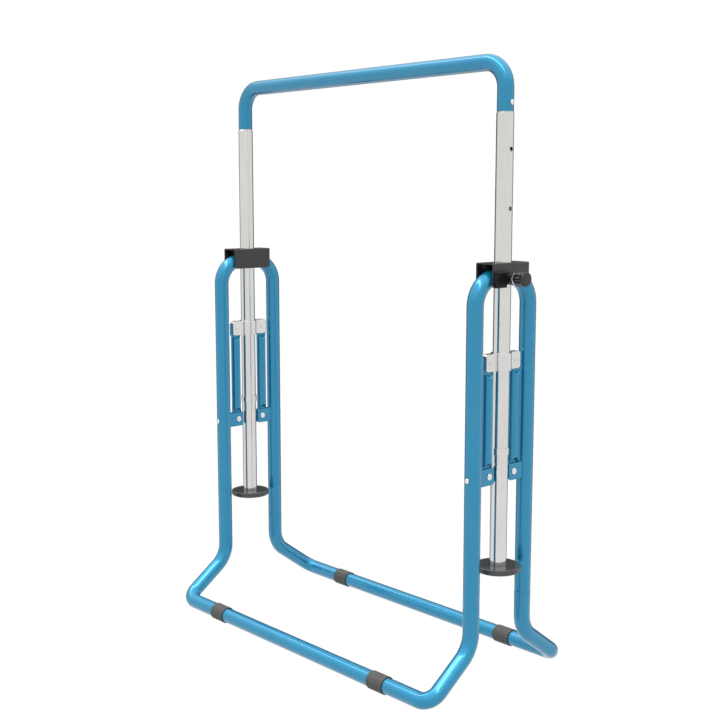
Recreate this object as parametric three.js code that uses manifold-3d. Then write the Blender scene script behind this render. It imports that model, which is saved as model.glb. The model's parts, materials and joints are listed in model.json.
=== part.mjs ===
// Height-adjustable kip bar: a sliding U-shaped bar between two identical side frames.
// Millimetres, +Z up, +X along the bar, -Y towards the front. The floor is z = 0.

import * as THREE from 'three';
import { mergeVertices } from 'three/addons/utils/BufferGeometryUtils.js';
import Module from 'manifold-3d';

const wasm = await Module();
wasm.setup();

// ---- driving dimensions -------------------------------------------------------------------

const GAP = 0.3;                    // clearance between pieces that touch
const FRAME_HALF_SPACING = 473.5;   // middle of the object to the plane of each side frame

const TUBE_RADIUS = 19;             // legs, base corners and runners
const TUBE_WALL = 1.3;
const LEG_HALF_SPACING = 89.6;      // post axis to leg axis
const LEG_TOP = 960;                // axis of the leg's level end in the bracket
const LEG_BEND = 63;
const LEG_END = 23;                 // distance of that end from the post axis
const LEG_SEAM = 214.8;             // butt joint between a leg and its base corner
const SPIGOT_LENGTH = 36;

const RUNNER_HALF_SPACING = 221;
const CORNER_UPPER_BEND = 71.7;
const CORNER_LOWER_BEND = 35;
const CORNER_KNEE = 117.4;          // height where the upright and sloping axes cross
const SLEEVE_OFFSET = 311;          // middle of the object to the middle of a rubber sleeve
const SLEEVE_LENGTH = 53;
const SLEEVE_RADIUS = 22;

const BAR_RADIUS = 18.8;
const BAR_WALL = 1.3;
const BAR_HEIGHT = 1432;
const BAR_BEND = 57.7;
const BAR_END = 1322;               // lower ends of the bar, on the posts' shoulders
const BAR_SCREW_HEIGHT = 1342;

const POST_RADIUS = 19.6;
const POST_WALL = 1.8;
const POST_FOOT = 297.6;
const POST_SPIGOT_TOP = 1366;
const PIN_HEIGHT = 958.5;
const PIN_HOLES = [PIN_HEIGHT, 1111.8, 1241.2];
const PIN_HOLE_RADIUS = 5;
const STOP_RADIUS = 21.6;           // raised band near the post's lower end
const STOP_BOTTOM = 558;
const STOP_TOP = 573.5;

const DISC_RADIUS = 53;
const DISC_BOTTOM = 283.2;
const DISC_TOP = 297.3;

const BRACKET_HALF_DEPTH = 25.4;    // across the frame, along X
const BRACKET_HALF_WIDTH = 60.5;
const BRACKET_BOTTOM = 939.3;
const BRACKET_TOP = 993.7;
const BRACKET_WALL = 3.4;

const BOSS_RADIUS = 14.5;           // round boss on the bracket's outer side, round the pin
const BOSS_BORE = 9.4;
const BOSS_REACH = 34.5;            // distances along the pin are from the frame's plane
const LOCK_BLOCK_THICKNESS = 8;
const SLEEVE_CLEARANCE = 0.4;       // guide sleeve to the bracket's side walls

const HOUSING_RADIUS = 9;           // the pull pin's barrel
const HOUSING_INNER_END = 23;
const HOUSING_OUTER_END = 52;
const FLANGE_RADIUS = 14.2;
const FLANGE_INNER = 35;
const FLANGE_OUTER = 39.6;
const CHAMBER_RADIUS = 7;
const CHAMBER_END = 43;
const PIN_RADIUS = 4;
const PIN_NOSE_RADIUS = 4.6;
const PIN_TIP = 20.3;
const PIN_END = 62;
const PIN_COLLAR_RADIUS = 6.6;
const PIN_COLLAR_INNER = 26;
const PIN_COLLAR_OUTER = 28;
const SPRING_RADIUS = 5.4;
const SPRING_WIRE_RADIUS = 0.55;
const SPRING_TURNS = 4;
const KNOB_RADIUS = 14.7;
const KNOB_FLUTES = 8;
const KNOB_FLUTE_DEPTH = 1.1;
const KNOB_HEAD_RADIUS = 17.2;
const KNOB_INNER = 42.5;
const KNOB_HEAD_START = 64;
const KNOB_OUTER = 71.5;

const CLAMP_BOTTOM = 750.5;
const CLAMP_TOP = 790.5;
const CLAMP_HALF_WIDTH = 58;
const CLAMP_HALF_THICKNESS = 8;
const COLLAR_RADIUS = 24;
const GUIDE_BORE = 20;              // running bore round a post

const BRACE_RADIUS = 13;
const BRACE_WALL = 1.6;
const BRACE_OFFSET = 45;
const BRACE_BOTTOM = 497;
const BRACE_TOP = 784;
const BRACE_FLAT_LENGTH = 34;       // each end is pressed flat over this length
const BRACE_TAPER_LENGTH = 13;
const BRACE_FLAT_HALF_WIDTH = 18.2;
const BRACE_FLAT_HALF_DEPTH = 2.1;
const RIVET_HEIGHT = 770;
const TAB_BOTTOM = 491;
const TAB_TOP = 530;
const TAB_INNER = 26;
const TAB_HALF_THICKNESS = 7.5;
const TAB_WALL = 3;
const BOLT_HEIGHT = 511.2;
const BOLT_RADIUS = 3.1;
const BOLT_OFFSET = 42.5;
const BOLT_HOLE_RADIUS = BOLT_RADIUS + GAP;

// Dome heads of the fasteners, with the radius and height of each.
const BAR_SCREW_HEAD = [6.2, 3.4];
const LEG_BOLT_HEAD = [6.3, 3.6];
const TAB_BOLT_HEAD = [7.9, 3.4];
const CLAMP_RIVET_HEAD = [5.2, 1.8];
const BAR_SCREW_LENGTH = 7;
const LEG_BOLT_LENGTH = 43.5;

const TUBE_SIDES = 16;
const BORE_SIDES = 10;
const BEND_STEPS = 5;               // steps of a right-angle bend

// A flat-sided round is narrower across its flats than across its corners.
const acrossFlats = (radius, sides) => radius * Math.cos(Math.PI / sides);
const clearBore = (radius, wall) => acrossFlats(radius - wall, BORE_SIDES);
const boreAround = (radius) => (radius + GAP) / acrossFlats(1, TUBE_SIDES);

const RUNNER_HEIGHT = acrossFlats(SLEEVE_RADIUS, TUBE_SIDES);
const POST_SPIGOT_RADIUS = clearBore(BAR_RADIUS, BAR_WALL) - GAP;

// ---- materials ----------------------------------------------------------------------------

const finish = (color, roughness, metalness) => ({ color, roughness, metalness });
const BLUE_PAINT = finish(0x2f86b8, 0.3, 0.3);
const CHROME = finish(0xdad8d4, 0.12, 1);
const ZINC = finish(0xc9c9c6, 0.3, 1);
const BLACK_PAINT = finish(0x303030, 0.45, 0.2);
const BLACK_PLASTIC = finish(0x242424, 0.35, 0);
const GLOSS_BLACK = finish(0x1c1c1c, 0.15, 0);
const GREY_RUBBER = finish(0x4c4846, 0.75, 0);

// ---- solids -------------------------------------------------------------------------------

function toSolid(geometry) {
  const bare = geometry.clone();
  bare.deleteAttribute('normal');
  bare.deleteAttribute('uv');
  const merged = mergeVertices(bare, 1e-4);
  const mesh = new wasm.Mesh({
    numProp: 3,
    vertProperties: new Float32Array(merged.attributes.position.array),
    triVerts: new Uint32Array(merged.index.array),
  });
  return new wasm.Manifold(mesh);
}

function toGeometry(solid) {
  const mesh = solid.getMesh();
  const geometry = new THREE.BufferGeometry();
  geometry.setAttribute('position', new THREE.BufferAttribute(new Float32Array(mesh.vertProperties), 3));
  geometry.setIndex(new THREE.BufferAttribute(new Uint32Array(mesh.triVerts), 1));
  geometry.computeVertexNormals();
  return geometry;
}

function cut(geometry, ...tools) {
  return toGeometry(tools.reduce((solid, tool) => solid.subtract(toSolid(tool)), toSolid(geometry)));
}

function join(geometry, ...others) {
  return toGeometry(others.reduce((solid, other) => solid.add(toSolid(other)), toSolid(geometry)));
}

function box(low, high) {
  const size = high.map((value, axis) => value - low[axis]);
  const middle = high.map((value, axis) => (value + low[axis]) / 2);
  return new THREE.BoxGeometry(...size).translate(...middle);
}

// A round bar between two heights, its axis turned to lie along 'x', 'y' or 'z'.
function rod(radius, low, high, axis = 'z', sides = 16) {
  const geometry = new THREE.CylinderGeometry(radius, radius, high - low, sides);
  geometry.translate(0, (low + high) / 2, 0);
  return alongAxis(geometry, axis);
}

// Turns a shape made along +Y so that it lies along the given axis.
function alongAxis(geometry, axis) {
  if (axis === 'z') geometry.rotateX(Math.PI / 2);
  if (axis === 'x') geometry.rotateZ(-Math.PI / 2);
  return geometry;
}

// A turned piece: profile points are [radius, distance along the axis], counter-clockwise.
function turned(profile, axis = 'z', sides = TUBE_SIDES) {
  const onAxis = profile[0][0] === 0;
  const outline = onAxis ? profile : [...profile, profile[0]];
  const points = outline.map(([radius, along]) => new THREE.Vector2(radius, along));
  return alongAxis(new THREE.LatheGeometry(points, sides), axis);
}

function circlePoints(radius, sides) {
  const point = (_, i) => {
    const angle = (2 * Math.PI * i) / sides;
    return new THREE.Vector2(radius * Math.cos(angle), radius * Math.sin(angle));
  };
  return Array.from({ length: sides }, point);
}

// ---- tubes along a bent route --------------------------------------------------------------

// A curve known only at its stations, so that straight stretches take no extra steps.
class StationCurve extends THREE.Curve {
  constructor(stations) {
    super();
    this.stations = stations;
  }

  at(fraction) {
    return this.stations[Math.round(fraction * (this.stations.length - 1))];
  }

  getPointAt(fraction) {
    return this.at(fraction).point.clone();
  }

  getTangentAt(fraction) {
    return this.at(fraction).tangent.clone();
  }
}

// Stations of a route of straight stretches with a round bend at each inner corner.
function bentRoute(corners, bendRadii) {
  const points = corners.map((corner) => new THREE.Vector3(...corner));
  const last = points.length - 1;
  const heading = (i) => points[i + 1].clone().sub(points[i]).normalize();
  const stations = [{ point: points[0], tangent: heading(0) }];
  for (let i = 1; i < last; i += 1) {
    stations.push(...roundBend(points[i], heading(i - 1), heading(i), bendRadii[i - 1]));
  }
  stations.push({ point: points[last], tangent: heading(last - 1) });
  return new StationCurve(stations);
}

function roundBend(corner, before, after, radius) {
  const turn = before.angleTo(after);
  const setback = radius * Math.tan(turn / 2);
  const start = corner.clone().addScaledVector(before, -setback);
  const inward = after.clone().addScaledVector(before, -after.dot(before)).normalize();
  const steps = Math.max(3, Math.round((BEND_STEPS * turn) / (Math.PI / 2)));
  const stations = [];
  for (let i = 0; i <= steps; i += 1) {
    const angle = (turn * i) / steps;
    const point = start.clone();
    point.addScaledVector(before, radius * Math.sin(angle));
    point.addScaledVector(inward, radius * (1 - Math.cos(angle)));
    const tangent = before.clone().multiplyScalar(Math.cos(angle));
    tangent.addScaledVector(inward, Math.sin(angle));
    stations.push({ point, tangent });
  }
  return stations;
}

function tube(route, radius, wall, sides = TUBE_SIDES, boreSides = BORE_SIDES) {
  const section = new THREE.Shape(circlePoints(radius, sides));
  section.holes.push(new THREE.Path(circlePoints(radius - wall, boreSides)));
  const steps = route.stations.length - 1;
  return new THREE.ExtrudeGeometry(section, { steps, extrudePath: route });
}

// ---- flat plates ---------------------------------------------------------------------------

// A rectangle in the plane of Y (across) and Z (up) with its own radius at each corner.
function plateOutline(low, high, [bottomLeft, bottomRight, topRight, topLeft]) {
  const [left, bottom] = low;
  const [right, top] = high;
  const shape = new THREE.Shape();
  shape.moveTo(left + bottomLeft, bottom);
  shape.lineTo(right - bottomRight, bottom);
  shape.quadraticCurveTo(right, bottom, right, bottom + bottomRight);
  shape.lineTo(right, top - topRight);
  shape.quadraticCurveTo(right, top, right - topRight, top);
  shape.lineTo(left + topLeft, top);
  shape.quadraticCurveTo(left, top, left, top - topLeft);
  shape.lineTo(left, bottom + bottomLeft);
  shape.quadraticCurveTo(left, bottom, left + bottomLeft, bottom);
  return shape;
}

// Extrudes an outline of Y and Z along X, from one distance to another.
function plateAlongX(outline, from, to) {
  const options = { depth: to - from, bevelEnabled: false, curveSegments: 4 };
  const geometry = new THREE.ExtrudeGeometry(outline, options);
  const axes = new THREE.Matrix4().makeBasis(
    new THREE.Vector3(0, 1, 0),
    new THREE.Vector3(0, 0, 1),
    new THREE.Vector3(1, 0, 0),
  );
  return geometry.applyMatrix4(axes).translate(from, 0, 0);
}

// ---- the sliding bar -----------------------------------------------------------------------

function topBar() {
  const route = bentRoute(
    [
      [-FRAME_HALF_SPACING, 0, BAR_END],
      [-FRAME_HALF_SPACING, 0, BAR_HEIGHT],
      [FRAME_HALF_SPACING, 0, BAR_HEIGHT],
      [FRAME_HALF_SPACING, 0, BAR_END],
    ],
    [BAR_BEND, BAR_BEND],
  );
  const drill = (side) => {
    const reach = [FRAME_HALF_SPACING + 5, FRAME_HALF_SPACING + 30].map((x) => side * x);
    const hole = rod(BOLT_HOLE_RADIUS, Math.min(...reach), Math.max(...reach), 'x', 8);
    return hole.translate(0, 0, BAR_SCREW_HEIGHT);
  };
  return cut(tube(route, BAR_RADIUS, BAR_WALL), drill(-1), drill(1));
}

function post() {
  const bore = POST_RADIUS - POST_WALL;
  const spigotBore = POST_SPIGOT_RADIUS - POST_WALL;
  const shoulder = BAR_END - GAP;
  const body = turned([
    [bore, POST_FOOT],
    [POST_RADIUS, POST_FOOT],
    [POST_RADIUS, STOP_BOTTOM],
    [STOP_RADIUS, STOP_BOTTOM + 1],
    [STOP_RADIUS, STOP_TOP - 1],
    [POST_RADIUS, STOP_TOP],
    [POST_RADIUS, shoulder],
    [POST_SPIGOT_RADIUS, shoulder],
    [POST_SPIGOT_RADIUS, POST_SPIGOT_TOP],
    [spigotBore, POST_SPIGOT_TOP],
    [spigotBore, shoulder - 4],
    [bore, shoulder - 8],
  ]);
  const outerWall = [POST_RADIUS / 2, POST_RADIUS + 5];
  const pinHole = (height) => rod(PIN_HOLE_RADIUS, ...outerWall, 'x', 12).translate(0, 0, height);
  const screwHole = rod(BOLT_HOLE_RADIUS, ...outerWall, 'x', 8).translate(0, 0, BAR_SCREW_HEIGHT);
  return cut(body, ...PIN_HOLES.map(pinHole), screwHole);
}

// A round plate whose hub plugs the post's lower end, with a countersunk screw hole.
function footDisc() {
  const hub = acrossFlats(POST_RADIUS - POST_WALL, TUBE_SIDES) - GAP;
  const hubTop = DISC_TOP + 20;
  const hole = 3.6;
  const sunkDepth = 4;
  const sunkRadius = 9;
  return turned([
    [hole, DISC_BOTTOM + sunkDepth],
    [sunkRadius, DISC_BOTTOM],
    [DISC_RADIUS - 1.5, DISC_BOTTOM],
    [DISC_RADIUS, DISC_BOTTOM + 2],
    [DISC_RADIUS, DISC_TOP - 2.5],
    [DISC_RADIUS - 2.5, DISC_TOP],
    [hub, DISC_TOP],
    [hub, hubTop],
    [hole, hubTop],
  ], 'z', 24);
}

function discScrew() {
  const headFace = DISC_BOTTOM + 0.4;
  const headRadius = 8.2;
  const tip = DISC_TOP + 16;
  return turned([
    [0, headFace],
    [headRadius, headFace],
    [BOLT_RADIUS, headFace + 3.8],
    [BOLT_RADIUS, tip],
    [0, tip],
  ], 'z', 12);
}

// ---- fasteners -----------------------------------------------------------------------------

// A dome head whose seat is at 0 and whose crown is at `height`, as turned profile points.
function domeProfile([radius, height]) {
  const steps = [0, 0.5, 1];
  return steps.map((part) => {
    const angle = (part * Math.PI) / 2;
    return [part === 1 ? 0 : radius * Math.cos(angle), height * Math.sin(angle)];
  });
}

// A screw with a dome head: the shank runs from `seat - length` to the seat.
function domeScrew(seat, headSize, length, axis) {
  const head = domeProfile(headSize).map(([r, h]) => [r, seat + h]);
  return turned([
    [0, seat - length],
    [BOLT_RADIUS, seat - length],
    [BOLT_RADIUS, seat],
    ...head,
  ], axis, 10);
}

// A through rivet with a dome on both ends of a grip.
function domeRivet(halfGrip, headSize) {
  const dome = domeProfile(headSize);
  const outer = dome.map(([r, h]) => [r, halfGrip + h]);
  const inner = dome.map(([r, h]) => [r, -halfGrip - h]).reverse();
  return turned([
    ...inner,
    [BOLT_RADIUS, -halfGrip],
    [BOLT_RADIUS, halfGrip],
    ...outer,
  ], 'x', 10);
}

// ---- the side frame ------------------------------------------------------------------------
// These shapes are made for one frame: X is the distance outward from its plane.

function leg(end) {
  const route = bentRoute(
    [
      [0, end * LEG_HALF_SPACING, LEG_SEAM + GAP],
      [0, end * LEG_HALF_SPACING, LEG_TOP],
      [0, end * LEG_END, LEG_TOP],
    ],
    [LEG_BEND],
  );
  const hole = rod(BOLT_HOLE_RADIUS, -125, 125, 'y', 8).translate(0, 0, BOLT_HEIGHT);
  return cut(tube(route, TUBE_RADIUS, TUBE_WALL), hole);
}

function baseCorner(end) {
  const sleeveX = SLEEVE_OFFSET - FRAME_HALF_SPACING;
  const route = bentRoute(
    [
      [0, end * LEG_HALF_SPACING, LEG_SEAM - GAP],
      [0, end * LEG_HALF_SPACING, CORNER_KNEE],
      [0, end * RUNNER_HALF_SPACING, RUNNER_HEIGHT],
      [sleeveX + GAP, end * RUNNER_HALF_SPACING, RUNNER_HEIGHT],
    ],
    [CORNER_UPPER_BEND, CORNER_LOWER_BEND],
  );
  const spigotRadius = clearBore(TUBE_RADIUS, TUBE_WALL) - GAP;
  const spigot = turned([
    [spigotRadius - TUBE_WALL, LEG_SEAM - 6],
    [TUBE_RADIUS - TUBE_WALL / 2, LEG_SEAM - 6],
    [TUBE_RADIUS - TUBE_WALL / 2, LEG_SEAM - 2 * GAP],
    [spigotRadius, LEG_SEAM - GAP],
    [spigotRadius, LEG_SEAM + SPIGOT_LENGTH],
    [spigotRadius - TUBE_WALL, LEG_SEAM + SPIGOT_LENGTH],
  ]).translate(0, end * LEG_HALF_SPACING, 0);
  return join(tube(route, TUBE_RADIUS, TUBE_WALL), spigot);
}

// A folded channel over the leg tops, open at both ends and below, with the pin's boss on
// its outer side and a notch below the boss.
function bracket() {
  const depth = BRACKET_HALF_DEPTH;
  const width = BRACKET_HALF_WIDTH;
  const corners = [7, 7, 0.5, 0.5];
  const sidePlate = plateOutline([-width, BRACKET_BOTTOM], [width, BRACKET_TOP], corners);
  const block = plateAlongX(sidePlate, -depth, depth);
  const inside = box(
    [BRACKET_WALL - depth, -width - 5, BRACKET_BOTTOM - 5],
    [depth - BRACKET_WALL, width + 5, BRACKET_TOP - BRACKET_WALL],
  );
  const postHole = rod(POST_RADIUS + 1.2, BRACKET_TOP - 10, BRACKET_TOP + 10, 'z', TUBE_SIDES);
  const notch = box([depth - 5, -20, BRACKET_BOTTOM - 5], [depth + 5, 20, BRACKET_BOTTOM + 6]);
  const channel = cut(block, inside, postHole, notch);
  const boss = rod(BOSS_RADIUS, depth - 1, BOSS_REACH, 'x', 20).translate(0, 0, PIN_HEIGHT);
  const bossHole = rod(BOSS_BORE, 15, 40, 'x', 16).translate(0, 0, PIN_HEIGHT);
  return cut(join(channel, boss), bossHole);
}

function guideSleeve() {
  const outer = BRACKET_HALF_DEPTH - BRACKET_WALL - SLEEVE_CLEARANCE;
  const bottom = BRACKET_BOTTOM + 7.5;
  const top = BRACKET_TOP - BRACKET_WALL - GAP;
  const sleeve = turned([
    [GUIDE_BORE, bottom],
    [outer, bottom],
    [outer, top],
    [GUIDE_BORE, top],
  ]);
  const pinHole = rod(PIN_HOLE_RADIUS + 0.2, 5, 30, 'x', 12).translate(0, 0, PIN_HEIGHT);
  return cut(sleeve, pinHole);
}

function lockBlock() {
  const low = [1.3 - BRACKET_HALF_WIDTH, BRACKET_BOTTOM];
  const high = [-22, BRACKET_BOTTOM + 34.7];
  const face = plateOutline(low, high, [1.5, 1.5, 1.5, 1.5]);
  return plateAlongX(face, BRACKET_HALF_DEPTH + GAP, BRACKET_HALF_DEPTH + LOCK_BLOCK_THICKNESS);
}

// The pin's barrel: a spring chamber open towards the post, a flange that clamps on the
// boss, and a neck that the knob's skirt covers.
function pinHousing() {
  const frontBore = PIN_RADIUS + 0.9;
  return turned([
    [CHAMBER_RADIUS, HOUSING_INNER_END],
    [HOUSING_RADIUS, HOUSING_INNER_END],
    [HOUSING_RADIUS, FLANGE_INNER],
    [FLANGE_RADIUS, FLANGE_INNER],
    [FLANGE_RADIUS, FLANGE_OUTER],
    [HOUSING_RADIUS, FLANGE_OUTER],
    [HOUSING_RADIUS, HOUSING_OUTER_END],
    [frontBore, HOUSING_OUTER_END],
    [frontBore, CHAMBER_END],
    [CHAMBER_RADIUS, CHAMBER_END],
  ], 'x', 14).translate(0, 0, PIN_HEIGHT);
}

function lockPin() {
  return turned([
    [0, PIN_TIP],
    [PIN_NOSE_RADIUS - 0.8, PIN_TIP],
    [PIN_NOSE_RADIUS, PIN_TIP + 1],
    [PIN_NOSE_RADIUS, PIN_COLLAR_INNER],
    [PIN_COLLAR_RADIUS, PIN_COLLAR_INNER],
    [PIN_COLLAR_RADIUS, PIN_COLLAR_OUTER],
    [PIN_RADIUS, PIN_COLLAR_OUTER],
    [PIN_RADIUS, PIN_END],
    [0, PIN_END],
  ], 'x', 12).translate(0, 0, PIN_HEIGHT);
}

// The return spring between the pin's collar and the chamber's front wall.
function pinSpring() {
  const stepsPerTurn = 7;
  const start = PIN_COLLAR_OUTER + 2 * SPRING_WIRE_RADIUS;
  const end = CHAMBER_END - 2 * SPRING_WIRE_RADIUS;
  const count = SPRING_TURNS * stepsPerTurn;
  const pitch = (end - start) / (2 * Math.PI * SPRING_TURNS);
  const stations = [];
  for (let i = 0; i <= count; i += 1) {
    const angle = (2 * Math.PI * i) / stepsPerTurn;
    const across = SPRING_RADIUS * Math.cos(angle);
    const up = SPRING_RADIUS * Math.sin(angle);
    const point = new THREE.Vector3(start + ((end - start) * i) / count, across, up);
    const tangent = new THREE.Vector3(pitch, -up, across).normalize();
    stations.push({ point, tangent });
  }
  const wire = new THREE.Shape(circlePoints(SPRING_WIRE_RADIUS, 5));
  const route = new StationCurve(stations);
  const coil = new THREE.ExtrudeGeometry(wire, { steps: count, extrudePath: route });
  return coil.translate(0, 0, PIN_HEIGHT);
}

// A fluted knob with a smooth rounded end, hollow so that it clears the housing's neck.
function pullKnob() {
  const pointsPerFlute = 4;
  const count = KNOB_FLUTES * pointsPerFlute;
  const outline = new THREE.Shape(Array.from({ length: count }, (_, i) => {
    const angle = (2 * Math.PI * i) / count;
    const radius = KNOB_RADIUS + KNOB_FLUTE_DEPTH * Math.cos(KNOB_FLUTES * angle);
    return new THREE.Vector2(radius * Math.cos(angle), radius * Math.sin(angle));
  }));
  const grip = plateAlongX(outline, KNOB_INNER, KNOB_HEAD_START);
  const head = turned([
    [0, KNOB_HEAD_START - 1],
    [KNOB_RADIUS, KNOB_HEAD_START - 1],
    [KNOB_HEAD_RADIUS, KNOB_HEAD_START + 0.5],
    [KNOB_HEAD_RADIUS, KNOB_OUTER - 3],
    [KNOB_HEAD_RADIUS - 1.3, KNOB_OUTER - 0.7],
    [KNOB_HEAD_RADIUS - 3.7, KNOB_OUTER],
    [0, KNOB_OUTER],
  ], 'x', 20);
  const skirt = rod(HOUSING_RADIUS + 2, KNOB_INNER - 8, HOUSING_OUTER_END + 2, 'x', 16);
  const pinSeat = rod(PIN_RADIUS + 0.4, 50, PIN_END + 0.4, 'x', 12);
  return cut(join(grip, head), skirt, pinSeat).translate(0, 0, PIN_HEIGHT);
}

// A fastener's hole across the frame, along X.
function crossHole(y, z) {
  return rod(BOLT_HOLE_RADIUS, -15, 15, 'x', 8).translate(0, y, z);
}

// A collar round the post with two slotted wings that hold the braces' flat ends.
function guideClamp() {
  const wing = plateOutline(
    [-CLAMP_HALF_WIDTH, CLAMP_BOTTOM],
    [CLAMP_HALF_WIDTH, CLAMP_TOP],
    [7, 7, 7, 7],
  );
  const wings = plateAlongX(wing, -CLAMP_HALF_THICKNESS, CLAMP_HALF_THICKNESS);
  const collar = rod(COLLAR_RADIUS, CLAMP_BOTTOM, CLAMP_TOP, 'z', 24);
  const bore = rod(GUIDE_BORE, CLAMP_BOTTOM - 5, CLAMP_TOP + 5, 'z', 24);
  const halfSlot = BRACE_FLAT_HALF_DEPTH + 0.5;
  const slotTop = BRACE_TOP + 2.5;
  const slot = (end) => {
    const reach = [COLLAR_RADIUS + 0.5, CLAMP_HALF_WIDTH + 5].map((y) => end * y);
    const low = [-halfSlot, Math.min(...reach), CLAMP_BOTTOM - 5];
    const high = [halfSlot, Math.max(...reach), slotTop];
    return box(low, high);
  };
  const hole = (end) => crossHole(end * BOLT_OFFSET, RIVET_HEIGHT);
  return cut(join(wings, collar), bore, slot(-1), slot(1), hole(-1), hole(1));
}

// A round tube pressed flat at both ends, with a cross hole through each flat.
function brace(end) {
  const roundStart = BRACE_FLAT_LENGTH + BRACE_TAPER_LENGTH;
  const stops = [0, BRACE_FLAT_LENGTH, roundStart - BRACE_TAPER_LENGTH / 2, roundStart];
  const heights = [
    ...stops.map((stop) => BRACE_BOTTOM + stop),
    ...stops.map((stop) => BRACE_TOP - stop).reverse(),
  ];
  const up = new THREE.Vector3(0, 0, 1);
  const stations = heights.map((z) => ({ point: new THREE.Vector3(0, 0, z), tangent: up }));
  const geometry = tube(new StationCurve(stations), BRACE_RADIUS, BRACE_WALL, 14, 8);
  const position = geometry.attributes.position;
  for (let i = 0; i < position.count; i += 1) {
    const z = position.getZ(i);
    const fromEnd = Math.min(z - BRACE_BOTTOM, BRACE_TOP - z);
    const roundness = THREE.MathUtils.smoothstep(fromEnd, BRACE_FLAT_LENGTH, roundStart);
    const outside = Math.hypot(position.getX(i), position.getY(i)) > BRACE_RADIUS - BRACE_WALL / 2;
    const radius = outside ? BRACE_RADIUS : BRACE_RADIUS - BRACE_WALL;
    const flatDepth = BRACE_FLAT_HALF_DEPTH - (outside ? 0 : BRACE_WALL);
    const flatWidth = BRACE_FLAT_HALF_WIDTH - (outside ? 0 : BRACE_WALL);
    position.setX(i, position.getX(i) * THREE.MathUtils.lerp(flatDepth / radius, 1, roundness));
    position.setY(i, position.getY(i) * THREE.MathUtils.lerp(flatWidth / radius, 1, roundness));
  }
  const tubeAtPlace = geometry.translate(0, BRACE_OFFSET, 0);
  const holes = [BOLT_HEIGHT, RIVET_HEIGHT].map((z) => crossHole(BOLT_OFFSET, z));
  const drilled = cut(tubeAtPlace, ...holes);
  return end > 0 ? drilled : drilled.rotateZ(Math.PI);
}

// A U-shaped tab: its web is hollowed to sit on the leg and its ears hold a brace.
function tab(end) {
  const web = LEG_HALF_SPACING - TUBE_RADIUS + 3;
  const ears = plateOutline([TAB_INNER, TAB_BOTTOM], [web, TAB_TOP], [7, 0.5, 0.5, 0.5]);
  const body = plateAlongX(ears, -TAB_HALF_THICKNESS, TAB_HALF_THICKNESS);
  const between = box(
    [TAB_WALL - TAB_HALF_THICKNESS, TAB_INNER - 5, TAB_BOTTOM - 5],
    [TAB_HALF_THICKNESS - TAB_WALL, LEG_HALF_SPACING - TUBE_RADIUS - TAB_WALL - 0.4, TAB_TOP + 5],
  );
  const legRoom = rod(boreAround(TUBE_RADIUS), TAB_BOTTOM - 5, TAB_TOP + 5, 'z', TUBE_SIDES);
  legRoom.translate(0, LEG_HALF_SPACING, 0);
  const through = rod(BOLT_HOLE_RADIUS, 50, 90, 'y', 8).translate(0, 0, BOLT_HEIGHT);
  const shape = cut(body, between, legRoom, crossHole(BOLT_OFFSET, BOLT_HEIGHT), through);
  return end > 0 ? shape : shape.rotateZ(Math.PI);
}

function legBolt(end) {
  const seat = LEG_HALF_SPACING + TUBE_RADIUS + GAP;
  const bolt = domeScrew(seat, LEG_BOLT_HEAD, LEG_BOLT_LENGTH, 'y').translate(0, 0, BOLT_HEIGHT);
  return end > 0 ? bolt : bolt.rotateZ(Math.PI);
}

// ---- the floor runners ---------------------------------------------------------------------

function runner() {
  const half = SLEEVE_OFFSET - GAP;
  const route = bentRoute([[-half, 0, RUNNER_HEIGHT], [half, 0, RUNNER_HEIGHT]], []);
  return tube(route, TUBE_RADIUS, TUBE_WALL);
}

// A rubber sleeve with chamfered ends, turned so that a flat side faces the floor.
function sleeve() {
  const half = SLEEVE_LENGTH / 2;
  const bore = boreAround(TUBE_RADIUS);
  const ring = turned([
    [bore, -half],
    [SLEEVE_RADIUS - 0.8, -half],
    [SLEEVE_RADIUS, 2 - half],
    [SLEEVE_RADIUS, half - 2],
    [SLEEVE_RADIUS - 0.8, half],
    [bore, half],
  ], 'x', TUBE_SIDES);
  return ring.rotateX(Math.PI / TUBE_SIDES).translate(0, 0, RUNNER_HEIGHT);
}

// ---- assembly ------------------------------------------------------------------------------

const kipBar = new THREE.Group();

function add(group, name, geometry, look) {
  const mesh = new THREE.Mesh(geometry, new THREE.MeshStandardMaterial(look));
  mesh.name = name;
  group.add(mesh);
  return mesh;
}

function addPost(frame, side) {
  add(frame, `post_${side}`, post(), CHROME);
  const screw = domeScrew(BAR_RADIUS + GAP, BAR_SCREW_HEAD, BAR_SCREW_LENGTH, 'x');
  add(frame, `bar_screw_${side}`, screw.translate(0, 0, BAR_SCREW_HEIGHT), CHROME);
  add(frame, `foot_disc_${side}`, footDisc(), GLOSS_BLACK);
  add(frame, `disc_screw_${side}`, discScrew(), ZINC);
}

function addLock(frame, side) {
  add(frame, `bracket_${side}`, bracket(), BLACK_PAINT);
  add(frame, `guide_sleeve_${side}`, guideSleeve(), ZINC);
  add(frame, `lock_block_${side}`, lockBlock(), BLACK_PLASTIC);
  add(frame, `pin_housing_${side}`, pinHousing(), CHROME);
  add(frame, `lock_pin_${side}`, lockPin(), ZINC);
  add(frame, `pin_spring_${side}`, pinSpring(), ZINC);
  add(frame, `pull_knob_${side}`, pullKnob(), BLACK_PLASTIC);
  add(frame, `guide_clamp_${side}`, guideClamp(), CHROME);
}

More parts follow.
